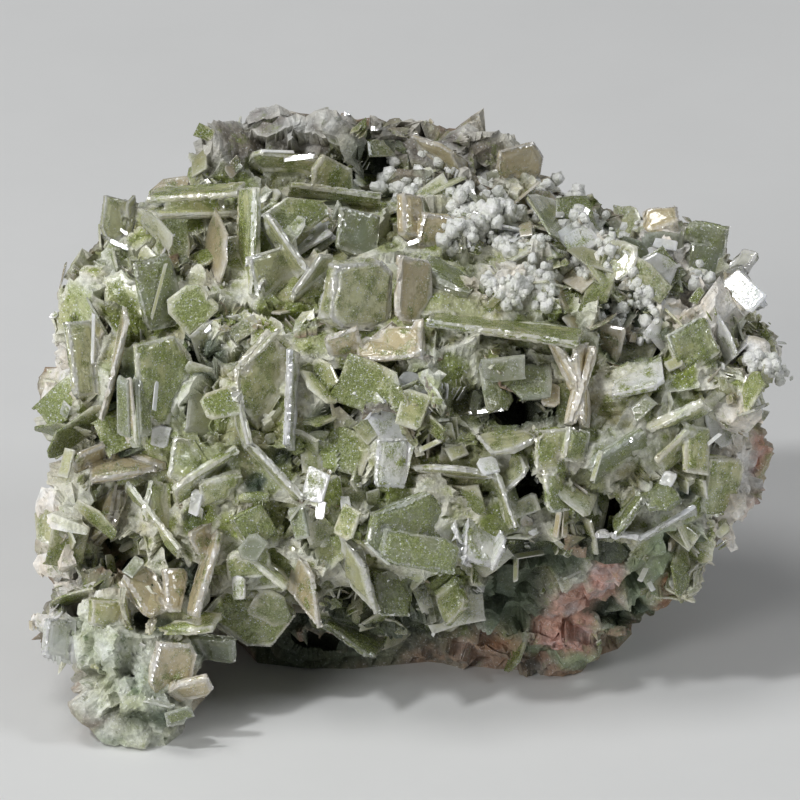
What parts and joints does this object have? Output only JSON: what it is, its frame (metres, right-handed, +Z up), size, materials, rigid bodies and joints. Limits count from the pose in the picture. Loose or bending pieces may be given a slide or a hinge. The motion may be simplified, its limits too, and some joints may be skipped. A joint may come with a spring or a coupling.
{
  "type": "wulfenite with duftite specimen",
  "caption": "Loose mineral specimen: thin wulfenite tablets and blades, many crusted with green duftite, on a knobbly matrix with a flat broken base.",
  "frame": {"origin": "centre of the bounding box in plan, on the surface that the specimen rests on", "axes": "+Z up, the show face with the crystals toward -Y and leaning back, +X to the right for one who looks at the show face"},
  "size_m": [0.0592, 0.0376, 0.0397],
  "materials": {
    "rock": "rough, crusted green with red-brown rock where it is bare",
    "dark_green_crystal": "dark glassy to sparkling green",
    "green_crusted_crystal": "crusted with tiny sparkling green crystals",
    "brown_beige_crystal": "smooth and glassy, brown to beige",
    "white_crystal": "chalky white to mirror bright",
    "pale_crystal": "clear to pale beige, glassy"
  },
  "bodies": {
    "root": {"matrix_rock": "rock", "wulfenite_beige_block_pair": "brown_beige_crystal", "wulfenite_beige_triangle_and_blade": "pale_crystal", "wulfenite_big_dark_green": "dark_green_crystal", "wulfenite_big_translucent_block": "pale_crystal", "wulfenite_brown_beige_blade": "brown_beige_crystal", "wulfenite_brown_curved_top": "brown_beige_crystal", "wulfenite_brown_fan": "brown_beige_crystal", "wulfenite_brown_tapered": "brown_beige_crystal", "wulfenite_corner_clear": "dark_green_crystal", "wulfenite_dark_clear_square": "dark_green_crystal", "wulfenite_dark_clear_under": "dark_green_crystal", "wulfenite_dark_glassy_right": "dark_green_crystal", "wulfenite_dark_under_plate": "dark_green_crystal", "wulfenite_double_edge_plate": "dark_green_crystal", "wulfenite_green_block": "dark_green_crystal", "wulfenite_green_brown_block": "green_crusted_crystal", "wulfenite_green_right": "green_crusted_crystal", "wulfenite_green_square_low": "green_crusted_crystal", "wulfenite_green_tooth": "green_crusted_crystal", "wulfenite_green_white_ledge": "green_crusted_crystal", "wulfenite_grey_and_beige_low": "pale_crystal", "wulfenite_grey_purple_and_green_edge": "green_crusted_crystal", "wulfenite_growth_lines_and_blades": "pale_crystal", "wulfenite_hanging_grey_white": "white_crystal", "wulfenite_jagged_dark_green": "dark_green_crystal", "wulfenite_large_curved_green": "green_crusted_crystal", "wulfenite_large_green_left": "green_crusted_crystal", "wulfenite_large_lower_green": "green_crusted_crystal", "wulfenite_lobe_beige": "brown_beige_crystal", "wulfenite_lobe_clear": "dark_green_crystal", "wulfenite_long_ledge_and_curtain": "green_crusted_crystal", "wulfenite_long_pale_blades": "pale_crystal", "wulfenite_long_thin_edges": "white_crystal", "wulfenite_low_left_edge_and_plate": "green_crusted_crystal", "wulfenite_mirror_right": "white_crystal", "wulfenite_mottled_right": "green_crusted_crystal", "wulfenite_olive_tilted": "brown_beige_crystal", "wulfenite_pale_hexagon": "pale_crystal", "wulfenite_pale_lens_blade": "pale_crystal", "wulfenite_pale_rimmed": "green_crusted_crystal", "wulfenite_pink_edge_left": "pale_crystal", "wulfenite_pink_top_right": "brown_beige_crystal", "wulfenite_ridge_right": "pale_crystal", "wulfenite_smooth_beige": "pale_crystal", "wulfenite_sparkly_hexagon": "green_crusted_crystal", "wulfenite_speckled": "white_crystal", "wulfenite_splayed_bundle": "pale_crystal", "wulfenite_striated_left": "pale_crystal", "wulfenite_tall_edge": "green_crusted_crystal", "wulfenite_tilted_pair": "pale_crystal", "wulfenite_top_edge": "green_crusted_crystal", "wulfenite_top_left_shelves": "pale_crystal", "wulfenite_two_section_tablet": "pale_crystal", "wulfenite_upper_left_squares": "white_crystal", "wulfenite_upright_edge": "white_crystal", "wulfenite_white_drusy": "white_crystal", "wulfenite_white_edge_terrace": "white_crystal", "wulfenite_white_upright_block": "white_crystal"}
  },
  "joints": []
}
